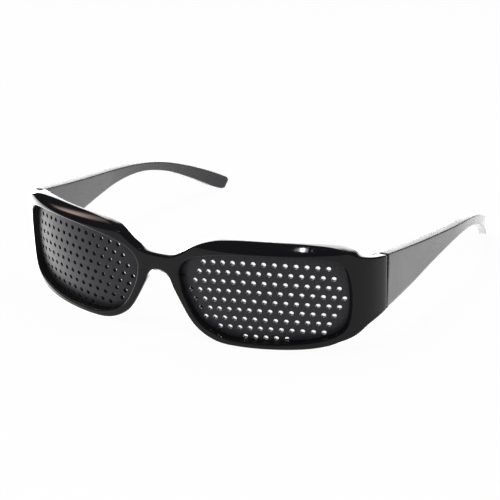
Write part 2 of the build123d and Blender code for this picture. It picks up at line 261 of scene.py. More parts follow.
def spaced(line, count):
    """Evenly spaced points along a line, without its last one."""
    reach = [0.0]
    for start, end in zip(line, line[1:]):
        reach.append(reach[-1] + (end - start).length)
    points = []
    span = 0
    for step in range(count):
        target = reach[-1] * step / count
        while reach[span + 1] < target:
            span += 1
        share = (target - reach[span]) / (reach[span + 1] - reach[span])
        points.append(line[span].lerp(line[span + 1], share))
    return points


def grown(points, distance):
    """A closed ring of flat points that runs clockwise, moved outwards."""
    moved = []
    for index, point in enumerate(points):
        run = (points[(index + 1) % len(points)] - points[index - 1]).normalized()
        moved.append(point + Vector((-run.y, run.x)) * distance)
    return moved


def smoothstep(value):
    """A soft step from 0 to 1."""
    value = min(1, max(0, value))
    return value * value * (3 - 2 * value)


def fade(value, start, stretch):
    """A soft step that begins at a start and takes a stretch."""
    return smoothstep((value - start) / stretch)


def outward(angle):
    """The way that a plan curve faces at an angle."""
    return Vector((sin(angle), -cos(angle)))


def onward(angle):
    """The way that a plan curve runs at an angle."""
    return Vector((cos(angle), sin(angle)))


class FrontShape:
    """The plan curve of the front and its unrolled outlines.

    Unrolled, the front stands flat: X runs along its outer skin from the middle, Y is the depth behind the
    plates' front skin, and Z is up.
    """

    def __init__(self, front):
        self.front = front
        self.skin_radius = front.lens_radius + front.rim_front
        self.turn_radius = front.corner_radius + front.rim_front
        self.lens_axis = Vector((front.bridge_half_width, front.lens_radius))
        step = front.lens_radius - front.corner_radius
        self.corner_axis = self.lens_axis + step * outward(front.wrap_angle)
        self.seam_angle = pi / 2 - asin((self.corner_axis.y - front.seam_setback) / self.turn_radius)
        self.half_width = self.corner_axis.x + self.turn_radius * sin(self.seam_angle)
        self.corner_start = front.bridge_half_width + self.skin_radius * front.wrap_angle
        self.half_girth = self.corner_start + self.turn_radius * (self.seam_angle - front.wrap_angle)
        self.lens_middle = self.lens_axis + outward(front.lens_centre) * self.skin_radius
        self.opening_end = self.seen_at(front.lens_centre, self.opening_across(1))

    def skin_point(self, along):
        """Place on the outer skin and the direction it faces, at a distance along it."""
        front = self.front
        if along <= front.bridge_half_width:
            return Vector((along, -front.rim_front)), 0.0
        if along <= self.corner_start:
            angle = (along - front.bridge_half_width) / self.skin_radius
            return self.lens_axis + self.skin_radius * outward(angle), angle
        angle = front.wrap_angle + (along - self.corner_start) / self.turn_radius
        return self.corner_axis + self.turn_radius * outward(angle), angle

    def seen_at(self, view, across):
        """Distance along the outer skin of the point that a plan view shows at a place across it."""
        front = self.front
        sight = onward(view)
        angle = view + asin((across - self.lens_axis.dot(sight)) / self.skin_radius)
        if angle < 0:
            return (across + front.rim_front * sight.y) / sight.x
        if angle <= front.wrap_angle:
            return front.bridge_half_width + self.skin_radius * angle
        angle = view + asin((across - self.corner_axis.dot(sight)) / self.turn_radius)
        return self.corner_start + self.turn_radius * (angle - front.wrap_angle)

    def opening_across(self, share):
        """Place across the lens view of a share of the opening's half width."""
        front = self.front
        shift = front.aperture_shift + front.aperture_half_width * share
        return self.lens_middle.dot(onward(front.lens_centre)) + shift

    def front_points(self, shares, base, rise):
        """Unrolled points of an outline that is read in the front view."""
        return [
            Vector((self.seen_at(0, self.half_width * across), base + rise * up)) for across, up in shares
        ]

    def end_points(self, shares, base, rise):
        """Unrolled points of an outline that is read in the end piece's view."""
        view = self.front.end_piece_view
        seam = self.half_width * cos(view) + self.front.seam_setback * sin(view)
        reach = self.front.end_piece_length
        return [Vector((self.seen_at(view, seam - reach * back), base + rise * up)) for back, up in shares]

    def edge_line(self, front_shares, end_shares, middle, far, seam):
        """An unrolled edge of the left half, between its heights in the middle, far out and at the seam."""
        knots = self.front_points(front_shares, middle, far - middle)
        knots += self.end_points(end_shares, seam, far - seam)
        return smooth_line([mirrored(knots[1])] + knots + [2 * knots[-1] - knots[-2]], 8)

    def top_line(self):
        """The unrolled top of the left half, from the middle of the bridge to the seam."""
        front = self.front
        heights = (front.bridge_top, front.brow_height, front.seam_top)
        return self.edge_line(brow_shares, end_top_shares, *heights)

    def bottom_line(self):
        """The unrolled bottom of the left half, from the middle of the nose arch to the seam."""
        front = self.front
        heights = (front.nose_arch_top, -front.rim_drop, front.seam_bottom)
        return self.edge_line(nose_shares, end_bottom_shares, *heights)

    def opening_line(self):
        """The unrolled outline of the left lens opening, as a closed line."""
        front = self.front
        knots = [
            Vector((
                self.seen_at(front.lens_centre, self.opening_across(across)),
                front.aperture_drop + front.aperture_half_height * up,
            ))
            for across, up in aperture_shares
        ]
        return smooth_line([knots[-1]] + knots + knots[:2], 12)

    def wall_angle(self, along):
        """The direction that the front's walls are drawn in, at a distance along the skin."""
        front = self.front
        first = front.lens_centre * fade(along, front.straight_walls, front.turning_walls)
        last = fade(along, self.opening_end, self.half_girth - self.opening_end)
        return first + (pi / 2 - front.lens_centre) * last

    def bent(self, point):
        """Where a point of the unrolled front lies in the upright front."""
        side = -1 if point.x < 0 else 1
        place, angle = self.skin_point(abs(point.x))
        drawn = self.wall_angle(abs(point.x))
        depth = (point.y + self.front.rim_front) / cos(angle - drawn)
        return Vector((side * (place.x - sin(drawn) * depth), place.y + cos(drawn) * depth, point.z))


def mirrored(point):
    """A flat point on the other side of the middle."""
    return Vector((-point.x, point.y))


def upright_to_frame():
    """Leans the upright front back onto the surface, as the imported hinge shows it."""
    front, _, hinge = sizes()
    joint = frame["joints"][0]
    lean = Matrix.Rotation(atan2(-joint["axis"][1], joint["axis"][2]), 4, "X")
    shape = FrontShape(front)
    axis = shape.half_width - hinge.axis_inset
    pivot = Vector((axis, front.seam_setback - hinge.axis_lead, hinge.height))
    return Matrix.Translation(Vector(joint["pos_m"]) - lean @ pivot) @ lean


# Modelling steps that the pieces share

merge_distance = 0.000001
crease_angle = radians(35)


def first_ring(bm, points, layer, closed):
    """A row of vertices joined by edges, each with its number in the layer."""
    verts = [bm.verts.new(point) for point in points]
    for index, vert in enumerate(verts):
        vert[layer] = index
    pairs = list(zip(verts, verts[1:]))
    if closed:
        pairs.append((verts[-1], verts[0]))
    return [bm.edges.new(pair) for pair in pairs]


def next_ring(bm, edges, layer, points):
    """Extrudes a row of edges onto new points, number by number, and hands back the new row."""
    made = bmesh.ops.extrude_edge_only(bm, edges=edges)["geom"]
    verts = {item for item in made if isinstance(item, bmesh.types.BMVert)}
    for vert in verts:
        vert.co = points[vert[layer]]
    return [item for item in made if isinstance(item, bmesh.types.BMEdge) and set(item.verts) <= verts]


def rounded(bm, edges, radius, segments):
    """Bevels edges round."""
    bmesh.ops.bevel(
        bm, geom=edges, offset=radius, offset_type="OFFSET", segments=segments, profile=0.5,
        affect="EDGES", material=-1, clamp_overlap=False,
    )


def sharp_edges(bm, least):
    """The edges where two faces meet at more than an angle."""
    return [edge for edge in bm.edges if edge.is_manifold and edge.calc_face_angle() > least]


def object_from(bm, name, material):
    """Turns a mesh into an object of one material."""
    mesh = bpy.data.meshes.new(name)
    bm.to_mesh(mesh)
    bm.free()
    mesh.materials.append(material)
    made = bpy.data.objects.new(name, mesh)
    bpy.context.scene.collection.objects.link(made)
    return made


def finished_piece(bm, name, node, material):
    """Turns a mesh in the frame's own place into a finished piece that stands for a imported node."""
    bmesh.ops.recalc_face_normals(bm, faces=bm.faces)
    piece = object_from(bm, name, material)
    for face in piece.data.polygons:
        face.use_smooth = True
    piece.data.set_sharp_from_angle(angle=crease_angle)
    body = next(body for body, nodes in frame["record"]["behaviour"]["bodies"].items() if node in nodes)
    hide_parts(node)
    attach(piece, body)


# Finishes. Reliefs are in metres, and the satin grain is in waves per metre.

plastic_ior = 1.5
fine_relief = 0.000004
plate_relief = 0.000012
temple_relief = 0.000003
grain_scale = 2000
plate_roughness, temple_roughness = 0.36, 0.45
leaf_roughness, screw_roughness = 0.22, 0.14
# The holes' walls, matt and darkened with painted shade: how much so, how far from each skin they start, and how
# softly
wall_matt_shade = 0.65
wall_start, wall_end, wall_blend = 0.00004, 0.00006, 0.0001


class Shade:
    """A node's output that takes part in sums."""

    def __init__(self, tree, socket):
        self.tree = tree
        self.socket = socket

    def maths(self, operation, first, second=0.0):
        return self.tree.node("ShaderNodeMath", {"operation": operation}, {0: first, 1: second})

    def __add__(self, other):
        return self.maths("ADD", self, other)

    def __sub__(self, other):
        return self.maths("SUBTRACT", self, other)

    def __rsub__(self, other):
        return self.maths("SUBTRACT", other, self)

    def __mul__(self, other):
        return self.maths("MULTIPLY", self, other)

    __radd__ = __add__
    __rmul__ = __mul__

    def size(self):
        """The value without its sign."""
        return self.maths("ABSOLUTE", self)

    def root(self):
        """The square root."""
        return self.maths("SQRT", self)

    def step(self, low, high):
        """A soft step from 0 at the low value to 1 at the high one."""
        return self.tree.node(
            "ShaderNodeMapRange", {"interpolation_type": "SMOOTHSTEP"},
            {"Value": self, "From Min": low, "From Max": high},
        )


class Tree:
    """A node tree that is written as calls and sums."""

    def __init__(self, owner):
        owner.use_nodes = True
        self.owner = owner
        self.tree = owner.node_tree
        self.tree.nodes.clear()

    def node(self, kind, settings, inputs, output=0):
        """Adds a node: first its settings, then the values or links of its sockets."""
        made = self.tree.nodes.new(kind)
        for name, value in settings.items():
            setattr(made, name, value)
        for name, value in inputs.items():
            if isinstance(value, Shade):
                self.tree.links.new(value.socket, made.inputs[name])
            else:
                made.inputs[name].default_value = value
        return Shade(self, made.outputs[output]) if made.outputs else made

    def place(self):
        """The object's own coordinates."""
        return self.node("ShaderNodeTexCoord", {}, {}, "Object")

    def axes(self, vector):
        """The three parts of a vector."""
        return [self.node("ShaderNodeSeparateXYZ", {}, {"Vector": vector}, name) for name in "XYZ"]

    def noise(self, scale, detail, roughness=0.5):
        """Noise with this many waves per metre."""
        inputs = {"Vector": self.place(), "Scale": scale, "Detail": detail, "Roughness": roughness}
        return self.node("ShaderNodeTexNoise", {}, inputs)

    def pits(self, scale):
        """Small round cells, with this many per metre."""
        return self.node("ShaderNodeTexVoronoi", {}, {"Vector": self.place(), "Scale": scale})

    def painted(self, name):
        """A value that the mesh holds at its points."""
        return self.node("ShaderNodeAttribute", {"attribute_name": name}, {}, "Fac")

    def ray(self, kind):
        """1 on rays of one kind."""
        return self.node("ShaderNodeLightPath", {}, {}, "Is " + kind + " Ray")

    def blend(self, factor, first, second):
        """A colour between two."""
        return self.node(
            "ShaderNodeMix", {"data_type": "RGBA"}, {0: factor, 6: (*first, 1), 7: (*second, 1)}, 2
        )

    def bump(self, height, distance):
        """A normal from a height."""
        return self.node("ShaderNodeBump", {}, {"Height": height, "Distance": distance, "Strength": 1.0})

    def principled(self, inputs):
        """A Principled shader."""
        return self.node("ShaderNodeBsdfPrincipled", {}, inputs)

    def diffuse(self, colour):
        """A matt shader."""
        return self.node("ShaderNodeBsdfDiffuse", {}, {"Color": (*colour, 1)})

    def background(self, colour, strength):
        """Light from the surroundings."""
        return self.node("ShaderNodeBackground", {}, {"Color": (*colour, 1), "Strength": strength})

    def mix(self, factor, first, second):
        """The first shader where the factor is 0, and the second where it is 1."""
        return self.node("ShaderNodeMixShader", {}, {0: factor, 1: first, 2: second})

    def output(self, surface, kind="ShaderNodeOutputMaterial"):
        """Puts a shader on the tree's output and hands back the finished material."""
        self.node(kind, {}, {"Surface": surface})
        return self.owner


def material_tree(name):
    """The tree of a new material."""
    return Tree(bpy.data.materials.new(name))


def darker(colour, share):
    """A share of a colour."""
    return tuple(channel * share for channel in colour)


def polished_plastic(colour):
    """Black moulded plastic, polished, with faint orange peel, dust and smears. Its recesses are matt and darkened
    with painted shade.
    """
    tree = material_tree("polished_black_plastic")
    smear = tree.noise(90, 4)
    grain = tree.noise(2600, 3)
    peel = tree.noise(420, 2)
    dust = tree.noise(5200, 2).step(0.66, 0.78)
    shaded_recess = tree.painted("shaded_recess")
    return tree.output(tree.principled({
        # In the recesses the colour falls to its darkest: painted shade.
        "Base Color": tree.blend(grain * 0.6 + dust - shaded_recess, darker(colour, 0.7), darker(colour, 2.4)),
        "Roughness": 0.03 + smear * 0.05 + grain * 0.03 + shaded_recess * 0.87,
        "IOR": plastic_ior,
        "Normal": tree.bump(peel * 0.6 + grain * 0.25 + dust * 0.4, fine_relief),
    }))


def satin_plastic(name, colour, roughness, relief, matt=None):
    """Moulded plastic with a fine spark-eroded grain and slight smears. Some of it can be matt and darkened with
    painted shade.
    """
    tree = material_tree(name)
    smear = tree.noise(70, 4)
    grain = tree.noise(grain_scale, 3, 0.6)
    cells = tree.pits(grain_scale * 0.7)
    specks = tree.noise(grain_scale * 1.7, 2).step(0.62, 0.76)
    mottle = grain.step(0.3, 0.7) + specks * 0.4
    shown = tree.principled({
        "Base Color": tree.blend(mottle, darker(colour, 0.7), darker(colour, 1.6)),
        "Roughness": roughness - 0.05 + smear * 0.10 + grain * 0.06,
        "IOR": plastic_ior,
        "Normal": tree.bump(grain * 0.7 + cells * 0.5, relief),
    })
    if matt:
        # Where the mask is, a dark matt shader stands in for the shade: painted shade.
        shown = tree.mix(matt(tree), shown, tree.diffuse(darker(colour, 0.15)))
    return tree.output(shown)


def hole_walls(tree):
    """How much of a plate is matt and darkened with painted shade: only between its two skins, where its holes'
    walls and its edge lie.
    """
    front, _, _ = sizes()
    upright = upright_to_frame().inverted()
    across, back, up = tree.axes(tree.node(
        "ShaderNodeMapping", {},
        {"Vector": tree.place(), "Location": upright.translation, "Rotation": upright.to_euler()},
    ))
    aside = across.size() - front.bridge_half_width
    ahead = back - front.lens_radius
    reach = (aside * aside + ahead * ahead).root()
    sag = front.plate_height_radius - (front.plate_height_radius ** 2 - up * up).root()
    depth = front.lens_radius - sag - reach
    first = wall_start
    last = front.plate_thickness - wall_end
    mask = depth.step(first, first + wall_blend) * (1 - depth.step(last - wall_blend, last))
    return wall_matt_shade * mask


def plated_steel(name, colour, roughness):
    """Plated metal with fine rolling marks."""
    tree = material_tree(name)
    stain = tree.noise(260, 4)
    marks = tree.noise(4200, 2)
    return tree.output(tree.principled({
        "Base Color": tree.blend(stain, darker(colour, 0.85), colour),
        "Metallic": 1.0,
        "Roughness": roughness + marks * 0.12 + stain * 0.08,
        "Normal": tree.bump(marks, fine_relief),
    }))


# The front

# Stations along the parts of the outline, and how many to each side may lie nearest to a point
top_stations, seam_stations, bottom_stations, middle_stations = 110, 20, 130, 14
near_opening, near_outline = 12, 26
# The rings that line the groove
groove_rings = 4
# The knots of the nose side that a pad follows, its stations and rings, and the least angle of its edges
pad_knots = slice(2, 8)
pad_stations = 24
pad_steps = (0.0, 0.3, 0.6, 0.8, 1.0)
pad_edge_angle = radians(40)
# Where roundings and depths change over along the skin: the start and the stretch of each change
brow_change = (0.010, 0.008)
end_change = (0.064, 0.008)
rim_change = (0.003, 0.003)
depth_change = (0.070, 0.009)
top_seam_stretch, bottom_seam_stretch = 0.0015, 0.010
# Shares of a rounding's radius at which the lines over it lie
rounding_shares = [1 - cos(pi / 10 * step) for step in range(6)]


def roll(gap, radius):
    """How far a rounded edge falls back at a distance from the outline."""
    if gap >= radius:
        return 0.0
    return radius - sqrt(radius ** 2 - (radius - gap) ** 2)


def clearance(point, line, number, reach):
    """Distance from a point to a closed line, near one of its points and without its cut at the middle."""
    nearest = None
    for step in range(number - reach, number + reach):
        start, end = line[step % len(line)], line[(step + 1) % len(line)]
        if start.x == end.x == 0:
            continue
        share = intersect_point_line(point, start, end)[1]
        gap = (start.lerp(end, min(1, max(0, share))) - point).length
        nearest = gap if nearest is None else min(nearest, gap)
    return nearest


def run_over(line, number, way, radius):
    """How long a rounding is along a direction that meets the line at a slant."""
    side = (line[(number + 1) % len(line)] - line[number - 1]).normalized()
    return radius / max(0.25, abs(side.x * way.y - side.y * way.x))


def lanes_across(start, end, inner_run, bend_share, outer_run):
    """Flat points across the face: close together over the two roundings, with one on the bend between."""
    width = (end - start).length
    inner_run = min(inner_run, 0.4 * width)
    outer_run = min(outer_run, 0.5 * width)
    far = width - outer_run
    rest = far - inner_run
    bend = min(far - 0.1 * rest, bend_share * width)
    if bend < inner_run + 0.1 * rest:
        inner_run = min(inner_run, 0.85 * bend)
    places = [inner_run * share for share in rounding_shares]
    places += [inner_run + (bend - inner_run) * share for share in (0.25, 0.5, 0.75)]
    places += [bend + (far - bend) * share for share in (0, 0.25, 0.5, 0.75)]
    places += [width - outer_run * share for share in reversed(rounding_shares)]
    return [start.lerp(end, place / width) for place in places]


class FrontRounds:
    """The outline's stations and the roundings there."""

    def __init__(self, shape):
        front = shape.front
        top = spaced(shape.top_line(), top_stations)
        seam = spaced([shape.top_line()[-1], shape.bottom_line()[-1]], seam_stations)
        bottom = spaced(shape.bottom_line()[::-1], bottom_stations)
        middle = spaced([shape.bottom_line()[0], shape.top_line()[0]], middle_stations)
        for point in middle + top[:1]:
            point.x = 0
        self.outer = top + seam + bottom + middle
        self.front_radius = []
        self.back_radius = []
        low = front.back_round * 3
        for point in top:
            bridge = 1 - fade(point.x, *brow_change)
            end = fade(point.x, *end_change)
            brow = 1 - bridge - end
            ahead = bridge * front.bridge_round + end * front.end_round + brow * front.brow_round
            behind = bridge * front.bridge_back_round + end * front.end_back_round
            self.add(shape, point, ahead, behind + brow * front.back_round / 2, top_seam_stretch)
        self.front_radius += [front.seam_round] * len(seam)
        self.back_radius += [front.back_round] * len(seam)
        for point in bottom:
            bridge = 1 - fade(point.x, *rim_change)
            ahead = bridge * front.bridge_round + (1 - bridge) * front.rim_round
            self.add(shape, point, ahead, front.back_round * (1 + 2 * bridge), bottom_seam_stretch)
        for point in middle:
            rise = fade(point.y, front.nose_arch_top, front.bridge_top - front.nose_arch_top)
            self.front_radius.append(front.bridge_round)
            self.back_radius.append(low + (front.bridge_back_round - low) * rise)

    def add(self, shape, point, ahead, behind, seam_stretch):
        """Notes a station's roundings. The one in front changes to the seam's over a stretch."""
        least = shape.front.seam_round
        inland = fade(shape.half_girth - point.x, 0, seam_stretch)
        self.front_radius.append(least + (ahead - least) * inland)
        self.back_radius.append(behind)


def front_rings(shape):
    """The rings of points round the left lens, from its opening's front edge right round the rim."""
    front = shape.front
    rounds = FrontRounds(shape)
    outer = rounds.outer
    opening = shape.opening_line()
    centre = sum(opening, Vector((0, 0))) / len(opening)
    inner = [crossing(opening, centre, point) for point in outer]
    ridge = max(front.ridge_height, max(point.y for point in inner) + front.ridge_lip)
    slope = front.brow_depth / (front.brow_height - ridge)

    def back(along):
        scoop = front.bridge_scoop ** 2 - min(along, front.bridge_scoop) ** 2
        depth = min(front.rim_back, front.bridge_back + front.bridge_scoop - sqrt(scoop))
        return depth + (front.end_back - depth) * fade(along, *depth_change)

    def plain_front(point):
        rise = point.y - ridge
        share = min(1, max(0, rise / (front.brow_height - ridge)))
        crown = front.brow_crown * 4 * share * (1 - share)
        return slope / 2 * (rise + sqrt(rise ** 2 + front.ridge_softness ** 2)) - front.rim_front - crown

    def sag(height):
        return front.plate_height_radius - sqrt(front.plate_height_radius ** 2 - height ** 2)

    def on_plate(points, depth):
        return [Vector((point.x, sag(point.y) + depth, point.y)) for point in points]

    def sideways(points, distance, side):
        moved = []
        for point, there in zip(points, grown(points, distance)):
            shift = there.x - point.x
            moved.append(Vector((point.x + (shift if shift * side > 0 else 0), point.y)))
        return moved

    def fallen(point, line, number, inner_radius, outer_radius):
        """How far the roundings at the opening and at the outline take a point back."""
        fall = roll(clearance(point, line, number, near_opening), inner_radius)
        return fall + roll(clearance(point, outer, number, near_outline), outer_radius)

    rear = sideways(inner, front.back_flare, -1)
    ahead_rows = []
    behind_rows = []
    for number, (start, end) in enumerate(zip(inner, outer)):
        thick = back(end.x) - plain_front(end)
        ahead = min(rounds.front_radius[number], 0.45 * thick)
        behind = min(rounds.back_radius[number], 0.95 * thick - ahead)
        way = (end - start).normalized()
        rise = end.y - start.y
        bend_share = (ridge - start.y) / rise if rise > 0 and end.y > ridge else 1
        inner_run = run_over(inner, number, way, front.opening_round)
        outer_run = run_over(outer, number, way, ahead)
        row = []
        for point in lanes_across(start, end, inner_run, max(0.12, bend_share), outer_run):
            depth = plain_front(point) + fallen(point, inner, number, front.opening_round, ahead)
            row.append(Vector((point.x, depth, point.y)))
        ahead_rows.append(row)
        outer_run = run_over(outer, number, way, behind)
        row = []
        for point in lanes_across(rear[number], end, front.back_round, 0.5, outer_run):
            depth = back(point.x) - fallen(point, rear, number, front.back_round, behind)
            row.append(Vector((point.x, depth, point.y)))
        behind_rows.append(row)
    front_side = [list(ring) for ring in zip(*ahead_rows)]
    back_side = [list(ring) for ring in zip(*behind_rows)][::-1]
    half_way = [ahead.lerp(behind, 0.5) for ahead, behind in zip(front_side[-1], back_side[0])]
    wide = grown(inner, front.groove_depth)
    narrow = sideways(inner, -front.wall_slant, -1)
    behind = front.plate_thickness + front.groove_clearance
    groove = [
        on_plate(rear, behind), on_plate(wide, behind), on_plate(wide, -front.groove_clearance),
        on_plate(narrow, -front.groove_clearance),
    ]
    return front_side + [half_way] + back_side + groove


def crossing(line, centre, outer):
    """Where the way from the lens centre to an outer point crosses the opening's outline."""
    for start, end in zip(line, line[1:]):
        point = intersect_line_line_2d(start, end, centre, outer)
        if point:
            return point
    raise ValueError("an outer point of the front lies inside the lens opening")


def moulded_front():
    """The whole front without its pads and bosses, upright and bent."""
    front, _, _ = sizes()
    shape = FrontShape(front)
    rings = front_rings(shape)
    bm = bmesh.new()
    station = bm.verts.layers.int.new("station")
    # The recess layer is 1 on the groove and the opening's front edge; the front's material makes these matt and
    # darkens them with painted shade.
    shaded_recess = bm.verts.layers.float.new("shaded_recess")
    edges = first_ring(bm, rings[0], station, True)
    for vert in bm.verts:
        vert[shaded_recess] = 1.0
    for number, ring in enumerate(rings[1:] + rings[:1], 1):
        edges = next_ring(bm, edges, station, ring)
        for vert in {vert for edge in edges for vert in edge.verts}:
            vert[shaded_recess] = 1.0 if number >= len(rings) - groove_rings else 0.0
    bmesh.ops.remove_doubles(bm, verts=bm.verts, dist=merge_distance)
    cut = [face for face in bm.faces if all(abs(vert.co.x) < merge_distance for vert in face.verts)]
    bmesh.ops.delete(bm, geom=cut, context="FACES")
    everything = bm.verts[:] + bm.edges[:] + bm.faces[:]
    bmesh.ops.mirror(bm, geom=everything, matrix=Matrix(), merge_dist=merge_distance, axis="X")
    bmesh.ops.recalc_face_normals(bm, faces=bm.faces)
    for vert in bm.verts:
        vert.co = shape.bent(vert.co)
    return bm


def nose_pad():
    """The left nose pad: a strip of the rim's nose side, run backwards and outwards to a rounded end."""
    front, _, _ = sizes()
    shape = FrontShape(front)
    drop = front.rim_drop + front.nose_arch_top
    knots = [
        Vector((shape.half_width * across, front.nose_arch_top - drop * down))
        for across, down in nose_shares[pad_knots]
    ]
    thick = Vector((front.pad_width, front.pad_width / 2))
    inset = thick.normalized() * front.pad_inset
    outside = [point + inset for point in spaced(smooth_line(knots, 10), pad_stations)]
    inside = [point + thick for point in outside]
    outline = outside + inside[::-1]
    reach = front.pad_root + front.pad_reach
    bm = bmesh.new()
    layer = bm.verts.layers.int.new("station")
    edges = []
    for step in pad_steps:
        depth = front.rim_back - front.pad_root + reach * step
        slide = reach * step * tan(front.pad_flare)
        points = [Vector((point.x + slide, depth, point.y)) for point in outline]
        edges = next_ring(bm, edges, layer, points) if edges else first_ring(bm, points, layer, True)
        if step == 0:
            bmesh.ops.contextual_create(bm, geom=edges)
    bmesh.ops.contextual_create(bm, geom=edges)
    bmesh.ops.recalc_face_normals(bm, faces=bm.faces)
    back = front.rim_back + front.pad_reach / 2
    sharp = sharp_edges(bm, pad_edge_angle)
    free = [edge for edge in sharp if max(vert.co.y for vert in edge.verts) > back]
    rounded(bm, free, front.pad_round, 4)
    return bm


def hinge_boss():
    """The left block behind the end piece that holds the front's hinge leaf."""
    front, _, hinge = sizes()
    shape = FrontShape(front)
    axis = shape.half_width - hinge.axis_inset
    face = front.seam_setback - hinge.axis_lead - hinge.knuckle_radius - hinge.gap - front.leaf_stand
    bm = bmesh.new()
    bmesh.ops.create_cube(bm, size=1)
    size = (front.boss_width, front.boss_length, front.boss_height)
    bmesh.ops.scale(bm, vec=size, verts=bm.verts)
    rounded(bm, bm.edges[:], front.boss_rounding, 3)
    middle = (axis - front.boss_inset + front.boss_width / 2, face - front.boss_length / 2, hinge.height)
    bmesh.ops.translate(bm, vec=middle, verts=bm.verts)
    return bm


def joined(bm, part):
    """Adds a mesh and its mirror image to another one."""
    everything = part.verts[:] + part.edges[:] + part.faces[:]
    bmesh.ops.mirror(part, geom=everything, matrix=Matrix(), merge_dist=0, axis="X")
    bmesh.ops.recalc_face_normals(part, faces=part.faces)
    carrier = bpy.data.meshes.new("carrier")
    part.to_mesh(carrier)
    part.free()
    bm.from_mesh(carrier)
    bpy.data.meshes.remove(carrier)


class GLASSES_OT_front(bpy.types.Operator):
    """Makes the moulded front with its rims, bridge, end pieces, nose pads and hinge blocks"""

    bl_idname = "glasses.front"
    bl_label = "Make the front"

    def execute(self, context):
        bm = moulded_front()
        joined(bm, nose_pad())
        joined(bm, hinge_boss())
        bmesh.ops.transform(bm, matrix=upright_to_frame(), verts=bm.verts)
        look = context.scene.glasses_look
        material = polished_plastic(look.front_black)
        finished_piece(bm, "front_moulding", "front_frame", material)
        return {"FINISHED"}


class GLASSES_OT_plates(bpy.types.Operator):
    """Gives the two pinhole plates their satin plastic"""

    bl_idname = "glasses.plates"
    bl_label = "Finish the pinhole plates"

    def execute(self, context):
        look = context.scene.glasses_look
        material = satin_plastic(
            "satin_plate_plastic", look.plate_grey, plate_roughness, plate_relief, hole_walls
        )
        for side in SIDES:
            frame["nodes"][side + "_pinhole_plate"].material_slots[0].material = material
        return {"FINISHED"}


# The temples

temple_columns = 110
temple_lanes = (0, 0.1, 0.25, 0.42, 0.58, 0.75, 0.9, 1)
temple_edge_angle = radians(50)


def temple_lines():
    """The temple's side view, upright: its top line and its bottom line, from the seam to the tip's end."""
    front, temple, _ = sizes()

    def knots(shares, gap, height, rise):
        back = front.seam_setback
        return [Vector((back + gap, height))] + [
            Vector((back + temple.reach * along, height + rise * share)) for along, share in shares
        ]

    fall = front.seam_top + temple.tip_drop - temple.tip_height
    top = knots(temple_top_shares, temple.seam_gap_top, front.seam_top, -fall)
    fall = temple.tip_drop + front.seam_bottom
    low = knots(temple_bottom_shares, temple.seam_gap_bottom, front.seam_bottom, fall)
    ends = (low[-1] - top[-1]).normalized()
    lines = []
    for line, way in ((top, ends), (low, -ends)):
        line = smooth_line([2 * line[0] - line[1]] + line + [2 * line[-1] - line[-2]], 16)
        lines.append(rounded_end(line, way, temple.tip_radius))
    return lines


def rounded_end(line, way, radius):
    """A line with its last corner rounded onto the way that it turns to."""
    corner = line[-1]
    came = (corner - line[-2]).normalized()
    cut = radius * tan(came.angle(way) / 2)
    kept = [point for point in line if (point - corner).length > cut]
    start = corner - came * cut
    end = corner + way * cut
    return kept + interpolate_bezier(start, start.lerp(corner, 0.55), end.lerp(corner, 0.55), end, 8)


def temple_skins(along):
    """Sideways places of the left temple's outer and inner skins."""
    front, temple, _ = sizes()
    start = FrontShape(front).half_width
    run = temple.straight_end - front.seam_setback
    size = sqrt(1 + temple.splay ** 2)
    centre = Vector((
        start + temple.splay * run - temple.curl_radius / size,
        temple.straight_end + temple.curl_radius * temple.splay / size,
    ))
    if along <= temple.straight_end:
        outer = start + temple.splay * (along - front.seam_setback)
        return outer, outer - temple.thickness
    rise = along - centre.y
    outer = centre.x + sqrt(temple.curl_radius ** 2 - rise ** 2)
    return outer, centre.x + sqrt((temple.curl_radius - temple.thickness) ** 2 - rise ** 2)


def moulded_temple():
    """The left temple, upright and curled."""
    front, temple, _ = sizes()
    top, low = temple_lines()
    tops = spaced(top, temple_columns) + [top[-1]]
    lows = spaced(low, temple_columns) + [low[-1]]
    bm = bmesh.new()
    layer = bm.verts.layers.int.new("lane")
    edges = []
    for high, deep in zip(tops, lows):
        points = [Vector((0, *deep.lerp(high, share))) for share in temple_lanes]
        edges = next_ring(bm, edges, layer, points) if edges else first_ring(bm, points, layer, False)
    made = bmesh.ops.extrude_face_region(bm, geom=bm.faces[:])["geom"]
    inner = [item for item in made if isinstance(item, bmesh.types.BMVert)]
    bmesh.ops.translate(bm, vec=(-temple.thickness, 0, 0), verts=inner)
    bmesh.ops.recalc_face_normals(bm, faces=bm.faces)
    head = front.seam_setback + 2 * temple.seam_gap_top
    for near_seam, radius, segments in ((False, temple.edge_radius, 4), (True, temple.head_radius, 2)):
        chosen = [
            edge for edge in sharp_edges(bm, temple_edge_angle)
            if all(vert.co.y < head for vert in edge.verts) == near_seam
        ]
        rounded(bm, chosen, radius, segments)
    for vert in bm.verts:
        outer, inner_skin = temple_skins(vert.co.y)
        vert.co.x = outer + (outer - inner_skin) * vert.co.x / temple.thickness
    return bm


class GLASSES_OT_temples(bpy.types.Operator):
    """Makes the two moulded temples"""

    bl_idname = "glasses.temples"
    bl_label = "Make the temples"

    def execute(self, context):
        look = context.scene.glasses_look
        material = satin_plastic("satin_temple_plastic", look.temple_grey, temple_roughness, temple_relief)
        for side, sign in SIDES.items():
            bm = moulded_temple()
            bmesh.ops.scale(bm, vec=(sign, 1, 1), verts=bm.verts)
            bmesh.ops.transform(bm, matrix=upright_to_frame(), verts=bm.verts)
            finished_piece(bm, side + "_temple_moulding", side + "_temple", material)
        return {"FINISHED"}


